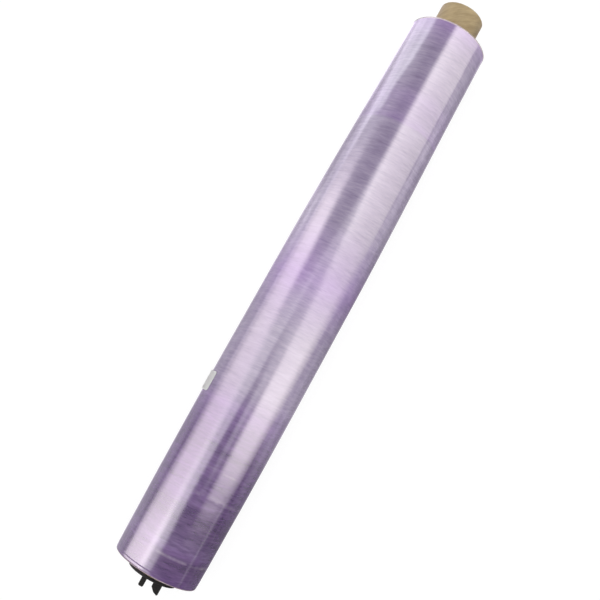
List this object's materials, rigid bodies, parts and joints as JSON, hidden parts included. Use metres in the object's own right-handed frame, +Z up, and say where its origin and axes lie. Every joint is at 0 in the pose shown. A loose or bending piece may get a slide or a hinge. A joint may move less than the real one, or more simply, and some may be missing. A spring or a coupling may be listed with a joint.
{
  "type": "roll of cling film",
  "caption": "Catering roll of cling film on a paperboard core, open at one side, with a lugged drive plug at the other and a paper tab that holds the loose end.",
  "frame": {"origin": "on the surface that the roll rests on, below the middle of the whole length and below the roll's axis", "axes": "+X along the roll's axis, from the plug to the open end of the core; +Z up; +Y towards the side that carries the tab"},
  "size_m": [0.4914, 0.0685, 0.0671],
  "materials": {
    "film": "glossy tinted film in many turns, with fine wrinkles round the roll",
    "core_board": "plain kraft paperboard with spiral plies",
    "plug_plastic": "satin moulded plastic",
    "tab_paper": "matte coated paper"
  },
  "bodies": {
    "root": {"film": "film", "core": "core_board", "end_plug": "plug_plastic", "start_tab": "tab_paper"}
  },
  "joints": []
}
